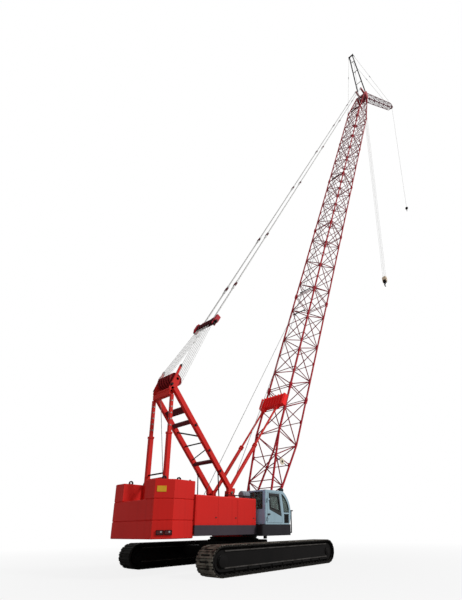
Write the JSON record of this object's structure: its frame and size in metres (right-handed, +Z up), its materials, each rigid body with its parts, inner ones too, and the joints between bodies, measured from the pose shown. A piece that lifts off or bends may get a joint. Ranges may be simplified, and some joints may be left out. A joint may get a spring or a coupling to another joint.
{
  "type": "crawler crane with lattice boom and fixed jib, 1:2 scale model",
  "caption": "Crawler crane on two tracks, with slewing upper works, cab, counterweight, gantry, raised lattice boom, fixed jib and two hooks.",
  "frame": {"origin": "on the ground under the swing axis", "axes": "+X along the boom and the tracks, +Y to the machine's left, +Z up"},
  "size_m": [21.2378, 3.036, 36.4675],
  "materials": {
    "red_paint": "gloss paint",
    "boom_red": "gloss paint",
    "black_paint": "satin paint",
    "track_steel": "worn cast steel",
    "grey_paint": "satin paint",
    "cab_paint": "gloss paint",
    "glass": "tinted",
    "seat_fabric": "woven",
    "steel_rope": "greased wire",
    "lamp_red": "clear red",
    "hook_cream": "satin paint"
  },
  "bodies": {
    "undercarriage": {"carbody_frame": "black_paint", "slew_ring": "black_paint", "track_frame_left": "black_paint", "track_frame_right": "black_paint", "track_left": "track_steel", "track_right": "track_steel", "drive_sprockets": "black_paint", "idler_wheels": "black_paint", "track_rollers": "black_paint"},
    "upper": {"upper_frame": "red_paint", "boom_foot_pins": "steel_rope", "house_left": "red_paint", "house_right": "red_paint", "house_skirts": "grey_paint", "engine_block": "black_paint", "winch_drums": "black_paint", "counterweight_base": "red_paint", "counterweight_middle": "red_paint", "counterweight_top_left": "red_paint", "counterweight_top_right": "red_paint", "lifting_lugs": "red_paint", "rear_lamps": "lamp_red", "gantry_front_legs": "red_paint", "gantry_braces": "black_paint", "gantry_back_legs": "red_paint", "gantry_head": "boom_red", "cab_platform": "grey_paint", "cab_shell": "cab_paint", "cab_glass": "glass", "windscreen": "glass", "operator_seat": "seat_fabric", "handrails": "black_paint", "air_cleaner": "cab_paint"},
    "door": {"cab_door": "cab_paint", "cab_door_glass": "glass"},
    "boom": {"boom_base": "boom_red", "boom_insert_1": "boom_red", "boom_insert_2": "boom_red", "boom_insert_3": "boom_red", "boom_insert_4": "boom_red", "boom_insert_5": "boom_red", "boom_top": "boom_red", "boom_head_sheaves": "boom_red", "backstop_beam": "red_paint", "jib": "boom_red", "jib_mast": "black_paint", "jib_stays": "steel_rope"},
    "hoist_ropes": {"boom_hoist_ropes": "steel_rope"},
    "pendants": {"bail": "boom_red", "pendant_lines": "steel_rope"},
    "backstop_tubes": {"backstop_tubes": "red_paint"},
    "backstop_rods": {"backstop_rods": "steel_rope"},
    "main_line": {"main_hoist_rope": "steel_rope"},
    "main_hook": {"hook_block": "hook_cream"},
    "aux_line": {"aux_hoist_rope": "steel_rope"},
    "aux_hook": {"ball_hook": "black_paint"}
  },
  "joints": [
    {"name": "swing", "type": "hinge", "parent": "undercarriage", "child": "upper", "pos_m": [0, 0, 0.64], "axis": [0, 0, 1], "continuous": true},
    {"name": "boom_luff", "type": "hinge", "parent": "upper", "child": "boom", "pos_m": [0.757, 0, 0.905], "axis": [0, -1, 0], "range_deg": [-39.2, 10.8]},
    {"name": "hoist_rope_angle", "type": "hinge", "parent": "upper", "child": "hoist_ropes", "pos_m": [-2.031, 0, 3.878], "axis": [0, -1, 0], "range_deg": [-40.18, 11.07]},
    {"name": "hoist_rope_pay_out", "type": "slide", "parent": "hoist_ropes", "child": "pendants", "axis": [0.455, 0, 0.8905], "range_m": [-0.764, 2.7732], "deforming": ["boom_hoist_ropes"]},
    {"name": "backstop_angle", "type": "hinge", "parent": "upper", "child": "backstop_tubes", "pos_m": [-0.453, 0, 1.585], "axis": [0, -1, 0], "range_deg": [-34.27, 9.44]},
    {"name": "backstop_stroke", "type": "slide", "parent": "backstop_tubes", "child": "backstop_rods", "axis": [0.5844, 0, 0.8115], "range_m": [-0.243, 0.8819]},
    {"name": "main_line_plumb", "type": "hinge", "parent": "boom", "child": "main_line", "pos_m": [11.66744, 0, 29.16228], "axis": [0, -1, 0], "range_deg": [-11.02, 39.98]},
    {"name": "main_hoist", "type": "slide", "parent": "main_line", "child": "main_hook", "axis": [0, 0, -1], "range_m": [-12.5, 13.5], "deforming": ["main_hoist_rope"]},
    {"name": "aux_line_plumb", "type": "hinge", "parent": "boom", "child": "aux_line", "pos_m": [18.39254, 0, 36.34753], "axis": [0, -1, 0], "range_deg": [-11.02, 39.98]},
    {"name": "aux_hoist", "type": "slide", "parent": "aux_line", "child": "aux_hook", "axis": [0, 0, -1], "range_m": [-9.5, 24], "deforming": ["aux_hoist_rope"]},
    {"name": "cab_door", "type": "hinge", "parent": "upper", "child": "door", "pos_m": [-0.08, -1.125, 0.888], "axis": [0, 0, -1], "range_deg": [0, 100]}
  ],
  "couplings": [
    {"joint": "hoist_rope_angle", "follows": "boom_luff", "ratio": 1.0048},
    {"joint": "hoist_rope_pay_out", "follows": "boom_luff", "m_per_rad": -3.9739},
    {"joint": "backstop_angle", "follows": "boom_luff", "ratio": 0.857},
    {"joint": "backstop_stroke", "follows": "boom_luff", "m_per_rad": -1.2637},
    {"joint": "main_line_plumb", "follows": "boom_luff", "ratio": -1},
    {"joint": "aux_line_plumb", "follows": "boom_luff", "ratio": -1}
  ]
}
